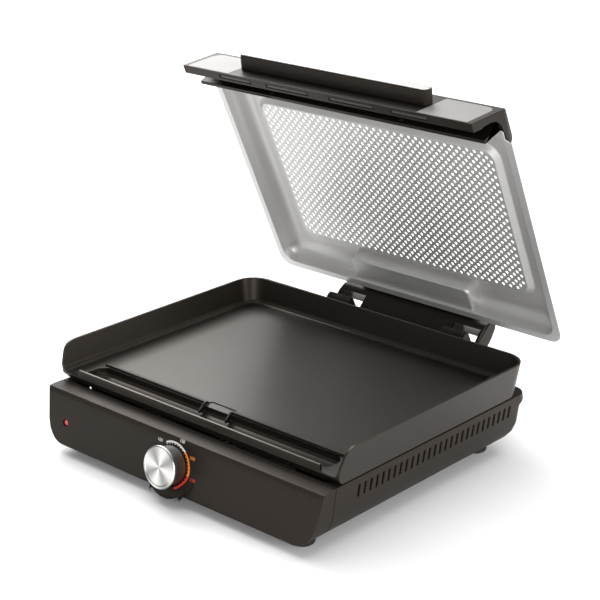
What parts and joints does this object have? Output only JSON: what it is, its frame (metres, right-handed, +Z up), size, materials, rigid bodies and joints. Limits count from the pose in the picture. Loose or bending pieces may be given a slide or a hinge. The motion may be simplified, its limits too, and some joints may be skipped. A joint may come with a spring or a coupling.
{
  "type": "electric griddle",
  "caption": "Table-top electric griddle with a rimmed non-stick plate, a grease trough, a dial at the front and a perforated steel lid on a rear hinge.",
  "frame": {"origin": "middle of the footprint, on the table under the feet", "axes": "+X to the user's right, -Y towards the user, +Z up"},
  "size_m": [0.458, 0.4784, 0.4537],
  "materials": {
    "housing_plastic": "fine matt texture",
    "visor_plastic": "satin",
    "soft_black": "matt",
    "cover_steel": "matt black",
    "non_stick": "satin non-stick coating",
    "stainless": "satin",
    "trim_steel": "fine brushed",
    "dark_steel": "plain",
    "red_lens": "clear gloss",
    "insulator": "matt"
  },
  "bodies": {
    "base": {"base_housing": "housing_plastic", "front_fascia": "housing_plastic", "bottom_cover": "cover_steel", "cover_screw_1": "dark_steel", "cover_screw_2": "dark_steel", "cover_screw_3": "dark_steel", "cover_screw_4": "dark_steel", "foot_front_left": "soft_black", "foot_front_right": "soft_black", "foot_rear_left": "soft_black", "foot_rear_right": "soft_black", "griddle_plate": "non_stick", "heat_reflector": "stainless", "heating_element": "dark_steel", "element_clip_front_left": "stainless", "element_clip_front_right": "stainless", "element_clip_rear_left": "stainless", "element_clip_rear_right": "stainless", "thermostat_body": "insulator", "thermostat_nut": "dark_steel", "indicator_lens": "red_lens", "indicator_lamp": "insulator", "terminal_block": "insulator", "thermal_fuse": "insulator", "cord_gland": "soft_black", "hinge_tower_left": "housing_plastic", "hinge_tower_right": "housing_plastic", "tower_screw_left_1": "dark_steel", "tower_screw_left_2": "dark_steel", "tower_screw_right_1": "dark_steel", "tower_screw_right_2": "dark_steel", "hinge_pin_left": "dark_steel", "hinge_pin_right": "dark_steel", "friction_washer_left": "dark_steel", "friction_washer_right": "dark_steel"},
    "knob": {"control_shaft": "dark_steel", "knob_body": "dark_steel", "knob_face": "trim_steel"},
    "lid": {"lid_pan": "stainless", "hinge_bracket": "visor_plastic", "bracket_nut_1": "dark_steel", "bracket_nut_2": "dark_steel", "bracket_nut_3": "dark_steel", "bracket_nut_4": "dark_steel", "lid_visor": "visor_plastic", "visor_trim_left": "trim_steel", "visor_trim_right": "trim_steel", "handle_grip": "visor_plastic", "handle_cap": "trim_steel", "handle_screw_1": "dark_steel", "handle_screw_2": "dark_steel"}
  },
  "joints": [
    {"name": "lid_hinge", "type": "hinge", "parent": "base", "child": "lid", "pos_m": [0, 0.18943, 0.074], "axis": [-1, 0, 0], "range_deg": [-65.2, 20]},
    {"name": "knob_turn", "type": "hinge", "parent": "base", "child": "knob", "pos_m": [0, -0.21316, 0.0445], "axis": [0, 0.9824, -0.1867], "range_deg": [-157, 45]}
  ]
}
